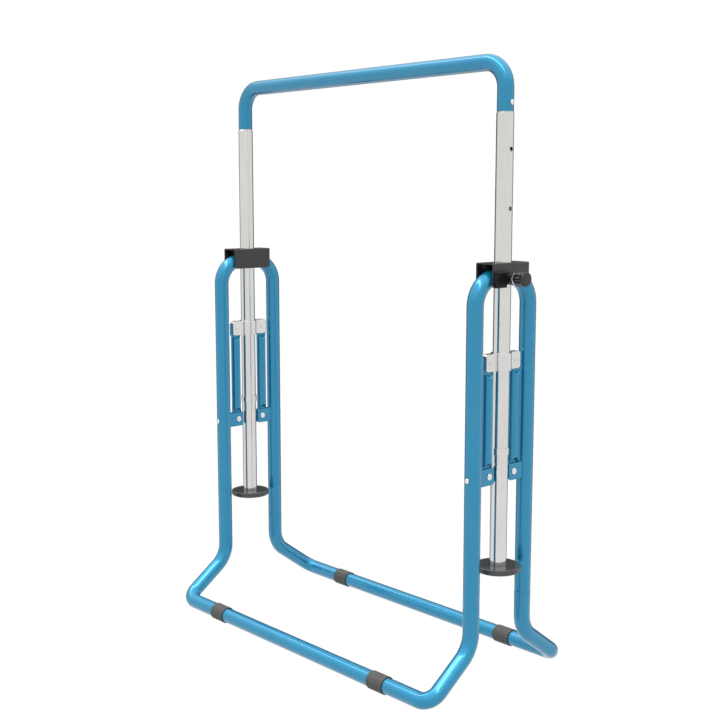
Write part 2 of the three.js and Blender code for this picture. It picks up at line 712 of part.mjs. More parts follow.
function addEnd(frame, place, end) {
  add(frame, `leg_${place}`, leg(end), BLUE_PAINT);
  add(frame, `base_corner_${place}`, baseCorner(end), BLUE_PAINT);
  add(frame, `brace_${place}`, brace(end), BLUE_PAINT);
  add(frame, `brace_tab_${place}`, tab(end), BLUE_PAINT);
  add(frame, `leg_bolt_${place}`, legBolt(end), CHROME);
  const tabBolt = domeRivet(TAB_HALF_THICKNESS + GAP, TAB_BOLT_HEAD);
  add(frame, `tab_bolt_${place}`, tabBolt.translate(0, end * BOLT_OFFSET, BOLT_HEIGHT), CHROME);
  const rivet = domeRivet(CLAMP_HALF_THICKNESS + GAP, CLAMP_RIVET_HEAD);
  add(frame, `clamp_rivet_${place}`, rivet.translate(0, end * BOLT_OFFSET, RIVET_HEIGHT), CHROME);
}

// Both side frames are the same assembly: the left one is the right one turned half a turn.
for (const side of ['left', 'right']) {
  const outward = side === 'right' ? 1 : -1;
  const frame = new THREE.Group();
  frame.position.set(outward * FRAME_HALF_SPACING, 0, 0);
  frame.rotation.z = side === 'right' ? 0 : Math.PI;
  kipBar.add(frame);
  addPost(frame, side);
  addLock(frame, side);
  addEnd(frame, `${side}_front`, -outward);
  addEnd(frame, `${side}_rear`, outward);
}

add(kipBar, 'top_bar', topBar(), BLUE_PAINT);

for (const row of ['front', 'rear']) {
  const y = (row === 'front' ? -1 : 1) * RUNNER_HALF_SPACING;
  add(kipBar, `runner_${row}`, runner(), BLUE_PAINT).position.y = y;
  for (const side of ['left', 'right']) {
    const x = (side === 'left' ? -1 : 1) * SLEEVE_OFFSET;
    add(kipBar, `foot_sleeve_${side}_${row}`, sleeve(), GREY_RUBBER).position.set(x, y, 0);
  }
}

export default kipBar;
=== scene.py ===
"""Looks of the height-adjustable kip bar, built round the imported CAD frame.

Metres, +Z up, +X along the bar, -Y towards the front. Every place is read from the frame;
the constants below give only the shapes that a node's box can't tell.
"""

import json
import math

import bmesh
import bpy
from mathutils import Matrix, Vector


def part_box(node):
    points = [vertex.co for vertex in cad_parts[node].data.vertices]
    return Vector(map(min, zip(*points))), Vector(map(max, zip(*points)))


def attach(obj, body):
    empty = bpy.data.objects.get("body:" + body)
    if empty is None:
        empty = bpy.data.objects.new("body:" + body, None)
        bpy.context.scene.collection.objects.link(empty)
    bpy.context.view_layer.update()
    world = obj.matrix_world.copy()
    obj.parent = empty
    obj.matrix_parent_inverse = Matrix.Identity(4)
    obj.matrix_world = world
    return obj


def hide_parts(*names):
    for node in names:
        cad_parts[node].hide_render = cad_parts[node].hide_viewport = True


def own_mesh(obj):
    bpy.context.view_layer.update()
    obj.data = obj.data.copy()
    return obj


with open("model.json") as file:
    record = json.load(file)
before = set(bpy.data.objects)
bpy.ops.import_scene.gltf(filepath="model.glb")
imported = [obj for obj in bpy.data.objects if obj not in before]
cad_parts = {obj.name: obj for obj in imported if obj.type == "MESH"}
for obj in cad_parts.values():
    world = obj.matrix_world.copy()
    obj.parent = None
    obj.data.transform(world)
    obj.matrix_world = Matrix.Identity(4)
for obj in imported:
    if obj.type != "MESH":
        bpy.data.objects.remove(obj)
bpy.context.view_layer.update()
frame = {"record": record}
RECORD = frame["record"]
SIDES = ("left", "right")
ROWS = ("front", "rear")
BODY_OF = {node: body for body, nodes in RECORD["behaviour"]["bodies"].items() for node in nodes}
SLOT_OF = {part["node"]: part["material_slot"] for part in RECORD["subparts"]}

# ---- camera ----

camera = bpy.data.objects.new("camera", bpy.data.cameras.new("camera"))
bpy.context.scene.collection.objects.link(camera)
bpy.context.scene.camera = camera
camera.location = (2.1982, -1.9979, 1.1379)
camera.rotation_euler = (math.radians(90 - 7.924), 0, math.radians(47.733))
camera.data.sensor_width = 36
camera.data.lens = 58.65
camera.data.clip_start = 0.05
camera.data.clip_end = 100
camera.data.dof.use_dof = False

# ---- dimensions that the boxes don't give ----

GAP = 0.0003
TUBE_WALL = 0.0013
LEG_BEND = 0.063
CORNER_UPPER_BEND = 0.0717
CORNER_LOWER_BEND = 0.035
CORNER_KNEE = 0.1174        # height where the upright and sloping axes cross
SEAM_HIGHLIGHT_RING_HEIGHT = 0.0005
BAR_BEND = 0.0577
POST_RADIUS = 0.0196
POST_WALL = 0.0018
STOP_HEIGHTS = (0.558, 0.5735)  # raised band low on the post
PIN_HOLE_RADIUS = 0.005
PIN_HOLE_HEIGHTS = (0.9585, 1.1118, 1.2412)
PIN_HEIGHT = 0.9585
BAR_JOINT = 1.3217          # the post's shoulder, under the bar's end
BAR_GROOVE = 0.0010
SHOULDER_CHAMFER = 0.0013
DISC_HUB_HEIGHT = 0.020     # the foot disc's hub, inside the post
BRACKET_HALF_DEPTH = 0.0254
BRACKET_WALL = 0.0034
BRACKET_POST_HOLE = 0.0208
BOSS_RADIUS = 0.0145
BOSS_BORE = 0.0094
HOUSING_RADIUS = 0.009
CHAMBER_RADIUS = 0.007      # the spring's room in the pin housing
CHAMBER_END = 0.043         # distances along a pin are from its side frame's plane
HOUSING_NUT = (0.0350, 0.0395)
PIN_RADIUS = 0.004
PIN_NOSE_RADIUS = 0.0046
PIN_COLLAR_RADIUS = 0.0066
PIN_COLLAR = (0.026, 0.028)
SPRING_RADIUS = 0.0054
SPRING_WIRE_RADIUS = 0.00055
SPRING_TURNS = 4
KNOB_FLUTES = 8
KNOB_FLUTE_DEPTH = 0.0019
KNOB_HEAD_LENGTH = 0.0075
KNOB_BORE = 0.011
KNOB_PIN_BORE = 0.0044
KNOB_PIN_SEAT = 0.0624
GUIDE_BORE = 0.020
COLLAR_RADIUS = 0.024
WING_HALF_THICKNESS = 0.008
BRACE_WALL = 0.0016
BRACE_FLAT_HALF_DEPTH = 0.0021
BRACE_FLAT_LENGTH = 0.034
TAB_WALL = 0.003
BOLT_RADIUS = 0.0031
BAR_SCREW_HEAD = 0.0034     # heights of the domed heads
LEG_BOLT_HEAD = 0.0036
TAB_BOLT_HEAD = 0.0034
CLAMP_RIVET_HEAD = 0.0018
SLEEVE_LIP = 0.0018
SEGMENTS = 64               # round a tube or a lathe shape
FINE_SEGMENTS = 96
COARSE_SEGMENTS = 48

# ---- mesh helpers ----


def new_object(name, data):
    obj = bpy.data.objects.new(name, data)
    bpy.context.scene.collection.objects.link(obj)
    return obj


def mesh_from(name, points, faces):
    """An object from points and faces, with outward normals and smooth shading."""
    mesh = bpy.data.meshes.new(name)
    mesh.from_pydata([tuple(p) for p in points], [], faces)
    work = bmesh.new()
    work.from_mesh(mesh)
    bmesh.ops.remove_doubles(work, verts=work.verts, dist=1e-7)
    bmesh.ops.recalc_face_normals(work, faces=work.faces)
    work.to_mesh(mesh)
    work.free()
    mesh.validate()
    mesh.shade_smooth()
    return new_object(name, mesh)


def ring_faces(rings, closed=False):
    """Quads between neighbouring rings, each a list of point indices of the same length."""
    faces = []
    pairs = list(zip(rings, rings[1:]))
    if closed:
        pairs.append((rings[-1], rings[0]))
    for low, high in pairs:
        count = len(low)
        for i in range(count):
            j = (i + 1) % count
            faces.append((low[i], low[j], high[j], high[i]))
    return faces


def indexed(point_rings):
    points = [p for ring in point_rings for p in ring]
    starts, at = [], 0
    for ring in point_rings:
        starts.append(list(range(at, at + len(ring))))
        at += len(ring)
    return points, starts


def capped(name, rings):
    """A solid through rings of points, with a flat face over both ends."""
    points, index = indexed(rings)
    faces = ring_faces(index) + [tuple(reversed(index[0])), tuple(index[-1])]
    return mesh_from(name, points, faces)


def finish_edges(obj, angle=40, weighted=True):
    """Marks edges above the angle sharp and lets broad faces keep their own shading."""
    work = bmesh.new()
    work.from_mesh(obj.data)
    limit = math.radians(angle)
    for edge in work.edges:
        edge.smooth = not edge.is_manifold or edge.calc_face_angle(0) < limit
    for face in work.faces:
        face.smooth = True
    work.to_mesh(obj.data)
    work.free()
    if weighted:
        modifier = obj.modifiers.new("normals", "WEIGHTED_NORMAL")
        modifier.keep_sharp = True
        modifier.weight = 80


def bake(obj):
    """Applies the object's modifiers and its place, so that its mesh is final."""
    graph = bpy.context.evaluated_depsgraph_get()
    bpy.context.view_layer.update()
    mesh = bpy.data.meshes.new_from_object(obj.evaluated_get(graph))
    mesh.transform(obj.matrix_world)
    old = obj.data
    obj.modifiers.clear()
    obj.data = mesh
    obj.matrix_world = Matrix.Identity(4)
    bpy.data.meshes.remove(old)


def combine(obj, tool, operation):
    modifier = obj.modifiers.new("boolean", "BOOLEAN")
    modifier.operation = operation
    modifier.solver = "EXACT"
    modifier.object = tool
    bake(obj)
    bpy.data.objects.remove(tool)


def minus(obj, *tools):
    for tool in tools:
        combine(obj, tool, "DIFFERENCE")


def plus(obj, *others):
    for other in others:
        combine(obj, other, "UNION")


def place_at(obj, turn, x=0.0, z=0.0):
    """Turns a piece half a turn about Z where it is asked to, then moves its mesh."""
    if turn:
        obj.data.transform(Matrix.Rotation(math.pi, 4, "Z"))
    obj.data.transform(Matrix.Translation((x, 0, z)))


def on_side(obj, side, z=0.0):
    """Puts a piece made about the right frame's plane on its own side, turned for the left."""
    place_at(obj, side == "left", POST_X[side], z)


def smoothed(t):
    """0 to 1 with a level start and end, and flat outside that stretch."""
    t = max(0.0, min(1.0, t))
    return t * t * (3 - 2 * t)


def unit_circle(count):
    turns = (2 * math.pi * i / count for i in range(count))
    return [(math.cos(turn), math.sin(turn)) for turn in turns]


# ---- round shapes ----


def filleted(profile, steps=4):
    """Rounds a polyline's corners: each entry is (radius, along) or (radius, along, fillet)."""
    result = []
    for i, entry in enumerate(profile):
        here = Vector(entry[:2])
        if len(entry) < 3 or i in (0, len(profile) - 1) and profile[0][0] == 0:
            result.append(here)
            continue
        before = Vector(profile[i - 1][:2]) - here
        after = Vector(profile[(i + 1) % len(profile)][:2]) - here
        reach = min(entry[2], before.length * 0.49, after.length * 0.49)
        start = here + before.normalized() * reach
        end = here + after.normalized() * reach
        for k in range(steps + 1):
            t = k / steps
            result.append(start * (1 - t) ** 2 + here * (2 * t * (1 - t)) + end * t ** 2)
    return result


AXES = {
    "x": Matrix(((0, 0, 1), (1, 0, 0), (0, 1, 0))),
    "y": Matrix(((0, 1, 0), (0, 0, 1), (1, 0, 0))),
    "z": Matrix.Identity(3),
}


def turned(name, profile, axis="z", centre=(0, 0, 0), segments=SEGMENTS, steps=4):
    """A lathe shape. A profile that starts on the axis ends on it; any other is a closed ring."""
    outline = filleted(profile, steps)
    solid = profile[0][0] == 0
    turn = AXES[axis]
    centre = Vector(centre)
    rings = []
    for radius, along in outline[1:-1] if solid else outline:
        rings.append([centre + turn @ Vector((radius * c, radius * s, along))
                      for c, s in unit_circle(segments)])
    points, index = indexed(rings)
    faces = ring_faces(index, closed=not solid)
    if solid:
        for ring, along in ((index[0], outline[0][1]), (index[-1], outline[-1][1])):
            pole = len(points)
            points.append(centre + turn @ Vector((0, 0, along)))
            faces += [(ring[i], ring[(i + 1) % segments], pole) for i in range(segments)]
    return mesh_from(name, points, faces)


def rod(radius, low, high, axis="z", centre=(0, 0, 0), segments=SEGMENTS):
    return turned("rod", [(0, low), (radius, low), (radius, high), (0, high)], axis, centre, segments)


def dome(seat, radius, height, steps=8):
    """Profile points of a dome head standing on its seat, with a short upright rim."""
    rim = height * 0.22
    points = [(radius * 0.97, seat), (radius, seat + rim * 0.4), (radius, seat + rim)]
    for k in range(1, steps):
        angle = k / steps * math.pi / 2
        points.append((radius * math.cos(angle), seat + rim + (height - rim) * math.sin(angle)))
    return points + [(0, seat + height)]


def domed_bolt(inner, seat, outer, head):
    """Profile of a bolt from its inner end to the top of its domed head."""
    return [(0, inner), (BOLT_RADIUS, inner, 0.0004), (BOLT_RADIUS, seat)] + dome(seat, head, outer - seat)


# ---- tubes ----


def bent_route(corners, radii, steps=20):
    """Points and headings along straight stretches joined by round bends."""
    corners = [Vector(c) for c in corners]
    heading = [(b - a).normalized() for a, b in zip(corners, corners[1:])]
    stations = [(corners[0], heading[0])]
    for corner, before, after, radius in zip(corners[1:], heading, heading[1:], radii):
        turn = before.angle(after)
        start = corner - before * (radius * math.tan(turn / 2))
        inward = (after - before * after.dot(before)).normalized()
        count = max(4, round(steps * turn / (math.pi / 2)))
        for k in range(count + 1):
            angle = turn * k / count
            point = start + before * (radius * math.sin(angle)) + inward * (radius * (1 - math.cos(angle)))
            stations.append((point, before * math.cos(angle) + inward * math.sin(angle)))
    stations.append((corners[-1], heading[-1]))
    return stations


def with_midpoints(stations, spacing=0.03):
    """Adds stations along straight stretches, so that no face is long and thin."""
    result = [stations[0]]
    for (point, tangent), (last, _) in zip(stations[1:], stations):
        length = (point - last).length
        count = int(length / spacing)
        for k in range(1, count + 1):
            result.append((last.lerp(point, k / (count + 1)), tangent))
        result.append((point, tangent))
    return result


def carried_frames(stations):
    """Two directions across the route at each station, carried along without twist."""
    across = stations[0][1].orthogonal().normalized()
    frames = []
    for _, heading in stations:
        across = (across - heading * across.dot(heading)).normalized()
        frames.append((across, heading.cross(across)))
    return frames


def tube(name, corners, radii, radius, rim=0.0005):
    """A hollow tube along a bent route, with rounded rims at both ends."""
    stations = with_midpoints(bent_route(corners, radii))
    frames = carried_frames(stations)

    def circle(k, size, shift=0.0):
        (point, heading), (across, up) = stations[k], frames[k]
        centre = point + heading * shift
        return [centre + across * (size * c) + up * (size * s) for c, s in unit_circle(SEGMENTS)]

    quarter = [i / 4 * math.pi / 2 for i in range(5)]
    last = len(stations) - 1
    start_rim = [circle(0, radius - rim + rim * math.sin(a), rim - rim * math.cos(a)) for a in quarter]
    end_rim = [circle(last, radius - rim + rim * math.cos(a), rim * math.sin(a) - rim) for a in quarter]
    outside = [circle(k, radius) for k in range(1, last)]
    inside = [circle(k, radius - TUBE_WALL) for k in range(last, -1, -1)]
    points, index = indexed(start_rim + outside + end_rim + inside)
    return mesh_from(name, points, ring_faces(index, closed=True))


def drilled_tube(name, centre, radius, wall, low, high, holes, hole_radius, side):
    """An upright tube, open at both ends, with round cross holes through the wall on one side.

    Round each hole the wall is a polar patch that meets the tube's own grid, and the hole's rim
    is rounded. side is +1 or -1 along X.
    """
    patch_columns = 8
    patch_half = 0.0078
    rows = 8
    step = 2 * math.pi / SEGMENTS
    levels = [low]
    z = low
    for hole in sorted(holes):
        z = add_levels(levels, z, hole - patch_half)
        levels += [hole - patch_half + 2 * patch_half * (k + 1) / rows for k in range(rows)]
        z = hole + patch_half
    add_levels(levels, z, high)
    points, faces = [], []
    half = patch_columns // 2

    def place(size, angle, height):
        return Vector((centre[0] + side * size * math.cos(angle), centre[1] + size * math.sin(angle), height))

    grids = []
    for size in (radius, radius - wall):
        grid = {}
        for r, height in enumerate(levels):
            for i in range(SEGMENTS):
                angle = step * (i - half)
                grid[r, i] = len(points)
                points.append(place(size, angle, height))
        grids.append((size, grid))

    def in_patch(r, i):
        middle = (levels[r] + levels[r + 1]) / 2
        return i < patch_columns and any(abs(middle - hole) < patch_half for hole in holes)

    for size, grid in grids:
        for r in range(len(levels) - 1):
            for i in range(SEGMENTS):
                if not in_patch(r, i):
                    j = (i + 1) % SEGMENTS
                    faces.append((grid[r, i], grid[r, j], grid[r + 1, j], grid[r + 1, i]))
    for r in (0, len(levels) - 1):
        for i in range(SEGMENTS):
            j = (i + 1) % SEGMENTS
            faces.append((grids[0][1][r, i], grids[0][1][r, j], grids[1][1][r, j], grids[1][1][r, i]))

    for hole in holes:
        first = min(range(len(levels)), key=lambda r: abs(levels[r] - (hole - patch_half)))
        border = [(first, i) for i in range(patch_columns)]
        border += [(first + r, patch_columns) for r in range(rows)]
        border += [(first + rows, patch_columns - i) for i in range(patch_columns)]
        border += [(first + rows - r, 0) for r in range(rows)]
        rings = []
        for size, grid in grids:
            edge = [grid[key] for key in border]
            flat = []
            for r, i in border:
                angle = step * (i - half)
                flat.append(Vector((size * math.sin(angle), levels[r] - hole)))
            turns = [math.atan2(p.y, p.x) for p in flat]
            rim = 0.0005 if size == radius else 0.0002
            loops = [edge]
            for share in (0.34, 0.67, 1.0):
                loop = []
                for p, turn in zip(flat, turns):
                    target = Vector((math.cos(turn), math.sin(turn))) * (hole_radius + rim)
                    q = p.lerp(target, share)
                    loop.append(len(points))
                    points.append(place(size, math.asin(q.x / size), hole + q.y))
                loops.append(loop)
            sink = rim if size == radius else -rim
            for part in (0.5, 1.0):
                loop = []
                angle = part * math.pi / 2
                for turn in turns:
                    reach = hole_radius + rim * (1 - math.sin(angle))
                    y, height = reach * math.cos(turn), reach * math.sin(turn)
                    depth = math.sqrt(size ** 2 - y ** 2) - sink * (1 - math.cos(angle))
                    loop.append(len(points))
                    points.append(Vector((centre[0] + side * depth, centre[1] + y, hole + height)))
                loops.append(loop)
            rings.append(loops)
        outer, inner = rings
        faces += ring_faces(outer)
        faces += ring_faces(inner)
        faces += ring_faces([outer[-1], inner[-1]])
    return mesh_from(name, points, faces)


def add_levels(levels, low, high, spacing=0.03):
    count = max(1, int((high - low) / spacing))
    levels += [low + (high - low) * (k + 1) / count for k in range(count)]
    return high


# ---- plates ----


def outline_points(low, high, corners, inset=0.0, steps=6):
    """A rectangle's outline with its own radius at each corner, drawn in by an inset.

    Corners run from the lower left one anticlockwise.
    """
    (left, bottom), (right, top) = low, high
    signs = ((-1, -1), (1, -1), (1, 1), (-1, 1))
    points = []
    for (sx, sy), radius, first in zip(signs, corners, (180, 270, 0, 90)):
        radius = max(radius, inset + 1e-5)
        cx = (left + radius) if sx < 0 else (right - radius)
        cy = (bottom + radius) if sy < 0 else (top - radius)
        for k in range(steps + 1):
            angle = math.radians(first + 90 * k / steps)
            points.append((cx + (radius - inset) * math.cos(angle), cy + (radius - inset) * math.sin(angle)))
    return points


def slab(name, low, high, corners, start, end, edge=0.0006, axis="x", steps=6):
    """A plate with rounded corners and rounded edges: its outline lies across the axis."""
    turn = AXES[axis]
    rings = []
    bend = [k / 3 * math.pi / 2 for k in range(4)]
    for a in bend:
        rings.append((edge * (1 - math.sin(a)), start + edge * (1 - math.cos(a))))
    for a in reversed(bend):
        rings.append((edge * (1 - math.sin(a)), end - edge * (1 - math.cos(a))))
    point_rings = []
    for inset, along in rings:
        outline = outline_points(low, high, corners, inset, steps)
        point_rings.append([turn @ Vector((u, v, along)) for u, v in outline])
    return capped(name, point_rings)


def block(low, high, edge=0.00002):
    """A box used to cut with, or a small solid with barely rounded edges."""
    return slab("block", low[1:], high[1:], [edge * 2] * 4, low[0], high[0], edge, "x", 1)


# ---- node materials ----


class Look:
    """A procedural material: a Principled shader and short calls that add nodes to it."""

    def __init__(self, name, **settings):
        self.material = bpy.data.materials.new(name)
        self.material.use_nodes = True
        self.tree = self.material.node_tree
        self.tree.nodes.clear()
        output = self.node("ShaderNodeOutputMaterial")
        self.shader = self.node("ShaderNodeBsdfPrincipled")
        self.tree.links.new(self.shader.outputs[0], output.inputs["Surface"])
        for socket, value in settings.items():
            self.shader.inputs[socket.replace("_", " ")].default_value = value
        self.place = self.node("ShaderNodeTexCoord").outputs["Object"]

    def node(self, kind, **settings):
        node = self.tree.nodes.new(kind)
        for key, value in settings.items():
            setattr(node, key, value)
        return node

    def link(self, source, target):
        if isinstance(source, (int, float)):
            target.default_value = source
        elif isinstance(source, (tuple, list)):
            target.default_value = (*source, 1)[: len(target.default_value)]
        else:
            self.tree.links.new(source, target)

    def noise(self, scale, detail=3.0, roughness=0.5, stretch=(1, 1, 1)):
        mapping = self.node("ShaderNodeMapping")
        mapping.inputs["Scale"].default_value = stretch
        self.link(self.place, mapping.inputs["Vector"])
        texture = self.node("ShaderNodeTexNoise")
        texture.inputs["Scale"].default_value = scale
        texture.inputs["Detail"].default_value = detail
        texture.inputs["Roughness"].default_value = roughness
        self.link(mapping.outputs[0], texture.inputs["Vector"])
        return texture.outputs["Fac"]

    def cells(self, scale):
        texture = self.node("ShaderNodeTexVoronoi")
        texture.inputs["Scale"].default_value = scale
        self.link(self.place, texture.inputs["Vector"])
        return texture.outputs["Color"]

    def spread(self, value, low, high, to_low, to_high):
        node = self.node("ShaderNodeMapRange")
        ends = {"From Min": low, "From Max": high, "To Min": to_low, "To Max": to_high}
        for socket, number in ends.items():
            node.inputs[socket].default_value = number
        self.link(value, node.inputs["Value"])
        return node.outputs[0]

    def math(self, operation, a, b=0.0):
        node = self.node("ShaderNodeMath", operation=operation)
        self.link(a, node.inputs[0])
        self.link(b, node.inputs[1])
        return node.outputs[0]

    def mix(self, share, a, b):
        node = self.node("ShaderNodeMix", data_type="RGBA")
        self.link(share, node.inputs["Factor"])
        self.link(a, node.inputs["A"])
        self.link(b, node.inputs["B"])
        return node.outputs["Result"]

    def grey(self, value):
        node = self.node("ShaderNodeCombineColor")
        for channel in node.inputs[:3]:
            self.link(value, channel)
        return node.outputs[0]

    def edges(self, radius, low, high):
        """1 along convex and concave edges within the radius, 0 on open surfaces."""
        bevel = self.node("ShaderNodeBevel", samples=6)
        bevel.inputs["Radius"].default_value = radius
        geometry = self.node("ShaderNodeNewGeometry")
        dot = self.node("ShaderNodeVectorMath", operation="DOT_PRODUCT")
        self.link(bevel.outputs[0], dot.inputs[0])
        self.link(geometry.outputs["Normal"], dot.inputs[1])
        return self.spread(dot.outputs["Value"], low, high, 1.0, 0.0)

    def set(self, socket, value):
        self.link(value, self.shader.inputs[socket])

    def bump(self, height, strength, distance):
        node = self.node("ShaderNodeBump")
        node.inputs["Strength"].default_value = strength
        node.inputs["Distance"].default_value = distance
        self.link(height, node.inputs["Height"])
        self.set("Normal", node.outputs[0])


def blue_paint():
    look = Look("blue_paint", Metallic=0.6, Coat_Weight=0.8, Coat_Roughness=0.05, Coat_IOR=1.5)
    cloud = look.noise(9.0, 3)
    flakes = look.cells(2600.0)
    tone = look.math("ADD", look.math("MULTIPLY", cloud, 0.92), look.math("MULTIPLY", flakes, 0.08))
    paint = look.mix(tone, (0.006, 0.215, 0.392), (0.009, 0.237, 0.420))
    # Lighter blue along edges in patches: partly edge wear, partly a painted edge highlight; on the thin seam
    # rings it paints the light line along the seam.
    patchy_wear_and_highlight = look.spread(look.noise(160.0), 0.45, 0.62, 0.0, 0.5)
    edge_tint = look.math("MULTIPLY", look.edges(0.0012, 0.80, 0.97), patchy_wear_and_highlight)
    look.set("Base Color", look.mix(edge_tint, paint, (0.06, 0.36, 0.56)))
    look.set("Roughness", look.spread(look.noise(30.0, 3), 0.3, 0.7, 0.23, 0.28))
    look.bump(look.noise(120.0, 2), 0.02, 0.0001)
    return look.material


def chrome(name="chrome", base=(0.80, 0.785, 0.765), rough=(0.07, 0.13)):
    look = Look(name, Metallic=1.0)
    streaks = look.noise(60.0, 4, 0.6, (6, 6, 0.25))
    haze = look.noise(14.0, 3)
    dulled = look.mix(look.spread(haze, 0.35, 0.7, 0.0, 0.35), base, (0.70, 0.68, 0.66))
    look.set("Base Color", look.mix(look.spread(streaks, 0.45, 0.75, 0.0, 0.3), dulled, (0.62, 0.60, 0.58)))
    look.set("Roughness", look.spread(streaks, 0.3, 0.7, *rough))
    look.bump(streaks, 0.02, 0.0003)
    return look.material


def zinc():
    look = Look("zinc", Metallic=1.0)
    brushed = look.noise(160.0, 4, 0.6, (1, 1, 0.08))
    spangle = look.noise(45.0, 3)
    look.set("Base Color", look.mix(spangle, (0.52, 0.52, 0.51), (0.68, 0.68, 0.66)))
    look.set("Roughness", look.spread(brushed, 0.3, 0.7, 0.22, 0.42))
    look.bump(brushed, 0.08, 0.0003)
    return look.material


def black_paint():
    look = Look("black_paint", Coat_Weight=0.35, Coat_Roughness=0.12)
    fine = look.noise(900.0, 3)
    cloud = look.noise(22.0, 4)
    paint = look.mix(cloud, (0.009, 0.009, 0.0095), (0.014, 0.0137, 0.0135))
    scuffs = look.spread(look.noise(210.0, 4), 0.40, 0.66, 0.25, 0.75)
    edge_tint = look.math("MULTIPLY", look.edges(0.0011, 0.80, 0.98), scuffs)
    look.set("Base Color", look.mix(edge_tint, paint, (0.30, 0.305, 0.31)))
    look.set("Roughness", look.spread(cloud, 0.3, 0.7, 0.36, 0.50))
    look.bump(fine, 0.05, 0.0003)
    return look.material


def moulded(name, dark, light, rough, grain, edge_tone, shine=0.5):
    look = Look(name, Specular_IOR_Level=shine)
    cloud = look.noise(35.0, 4)
    plastic = look.mix(cloud, dark, light)
    rims = look.edges(0.0010, 0.78, 0.98)
    rub = look.math("MULTIPLY", rims, look.spread(look.noise(240.0), 0.42, 0.65, 0.0, 0.6))
    look.set("Base Color", look.mix(rub, plastic, edge_tone))
    look.set("Roughness", look.spread(cloud, 0.3, 0.7, *rough))
    look.bump(look.noise(grain, 3), 0.12, 0.0003)
    return look.material


def grey_rubber():
    look = Look("grey_rubber")
    cloud = look.noise(50.0, 4)
    speckle = look.spread(look.noise(900.0, 2), 0.55, 0.75, 0.0, 0.35)
    base = look.mix(cloud, (0.036, 0.035, 0.035), (0.056, 0.054, 0.053))
    dusty = look.mix(look.math("MULTIPLY", look.edges(0.0012, 0.75, 0.97), 0.5), base, (0.24, 0.225, 0.21))
    look.set("Base Color", look.mix(speckle, dusty, (0.15, 0.14, 0.135)))
    look.set("Roughness", look.spread(cloud, 0.3, 0.7, 0.55, 0.75))
    look.bump(look.noise(700.0, 3), 0.25, 0.0004)
    return look.material


LOOKS = {
    "blue_paint": blue_paint(),
    "chrome": chrome(),
    "zinc": zinc(),
    "black_paint": black_paint(),
    "black_plastic": moulded("black_plastic", (0.012, 0.012, 0.012), (0.020, 0.020, 0.021),
                             (0.14, 0.24), 800.0, (0.09, 0.09, 0.09)),
    "gloss_black": moulded("gloss_black", (0.036, 0.036, 0.037), (0.048, 0.048, 0.049),
                           (0.03, 0.06), 300.0, (0.08, 0.08, 0.08)),
    "grey_rubber": grey_rubber(),
}
# Near-black look for the sleeves' end faces: painted shade for the dark ring seen at each sleeve end.
SLEEVE_END_SHADE_LOOK = moulded("sleeve_end_shade", (0.006, 0.006, 0.007), (0.011, 0.011, 0.012),
                          (0.5, 0.7), 500.0, (0.03, 0.03, 0.03))
LOCK_LOOK = moulded("lock_plastic", (0.004, 0.004, 0.004), (0.008, 0.008, 0.008),
                    (0.20, 0.30), 800.0, (0.05, 0.05, 0.05), shine=0.2)
BOLT_LOOK = chrome("bolt_chrome", (0.90, 0.89, 0.88), (0.14, 0.22))
CLAMP_LOOK = chrome("plated_steel", (0.82, 0.81, 0.79), (0.16, 0.26))


# ---- pieces ----


def stand_for(obj, node, look=None, angle=None):
    """The piece takes the node's place: its body, its material slot and its finish."""
    if angle:
        finish_edges(obj, angle)
    obj.name = f"{node}_piece"
    obj.data.name = obj.name
    obj.data.materials.clear()
    obj.data.materials.append(look or LOOKS[SLOT_OF[node]])
    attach(obj, BODY_OF[node])
    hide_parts(node)


def added_to(obj, node, name, look, angle=50):
    """A further piece of a node that already has its own: it moves with that node."""
    finish_edges(obj, angle)
    obj.name = name
    obj.data.name = name
    obj.data.materials.append(look)
    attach(obj, BODY_OF[node])


def middle(node):
    low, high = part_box(node)
    return (low + high) / 2


def half_size(node):
    low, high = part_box(node)
    return (high - low) / 2


def outward_ends(node, along="y", origin=0.0):
    """Sign of the side a node is on and its ends' distances from the origin, nearest first."""
    low, high = (getattr(end, along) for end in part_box(node))
    return (1 if low + high > 0 else -1), *sorted(abs(v) - origin for v in (low, high))


TUBE_RADIUS = half_size("leg_right_front").x
POST_X = {side: middle(f"post_{side}").x for side in SIDES}
OUTWARD = {"left": -1, "right": 1}


def build_top_bar():
    low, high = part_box("top_bar")
    radius = half_size("top_bar").y
    left, right, top = low.x + radius, high.x - radius, high.z - radius
    end = low.z + BAR_GROOVE
    corners = [(left, 0, end), (left, 0, top), (right, 0, top), (right, 0, end)]
    bar = tube("bar", corners, [BAR_BEND, BAR_BEND], radius, rim=0.0006)
    stand_for(bar, "top_bar")


def build_post(side):
    node = f"post_{side}"
    low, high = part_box(node)
    radius = POST_RADIUS
    x = POST_X[side]
    shoulder = BAR_JOINT - SHOULDER_CHAMFER
    body = drilled_tube("post", (x, 0), radius, POST_WALL, low.z, shoulder, PIN_HOLE_HEIGHTS,
                        PIN_HOLE_RADIUS, OUTWARD[side])
    finish_edges(body, 50, weighted=False)
    stand_for(body, node)
    neck_radius = half_size("top_bar").y - TUBE_WALL - 0.0006
    plug = radius - POST_WALL - 0.0001
    neck = turned("neck", [
        (neck_radius - POST_WALL, shoulder - 0.006), (plug, shoulder - 0.006),
        (plug, shoulder + 0.00005), (radius - 0.0001, shoulder + 0.00005),
        (radius - SHOULDER_CHAMFER, BAR_JOINT, 0.0002), (neck_radius, BAR_JOINT),
        (neck_radius, high.z, 0.0008), (neck_radius - POST_WALL, high.z),
    ], "z", (x, 0, 0))
    added_to(neck, node, f"post_neck_{side}", LOOKS["chrome"])
    low_stop, high_stop = STOP_HEIGHTS
    stop_radius = half_size(node).y
    stop = turned("stop", [
        (radius + 0.00005, low_stop), (stop_radius, low_stop, 0.0002),
        (stop_radius, high_stop, 0.0002), (radius + 0.00005, high_stop),
    ], "z", (x, 0, 0))
    added_to(stop, node, f"post_stop_{side}", LOOKS["chrome"], angle=60)


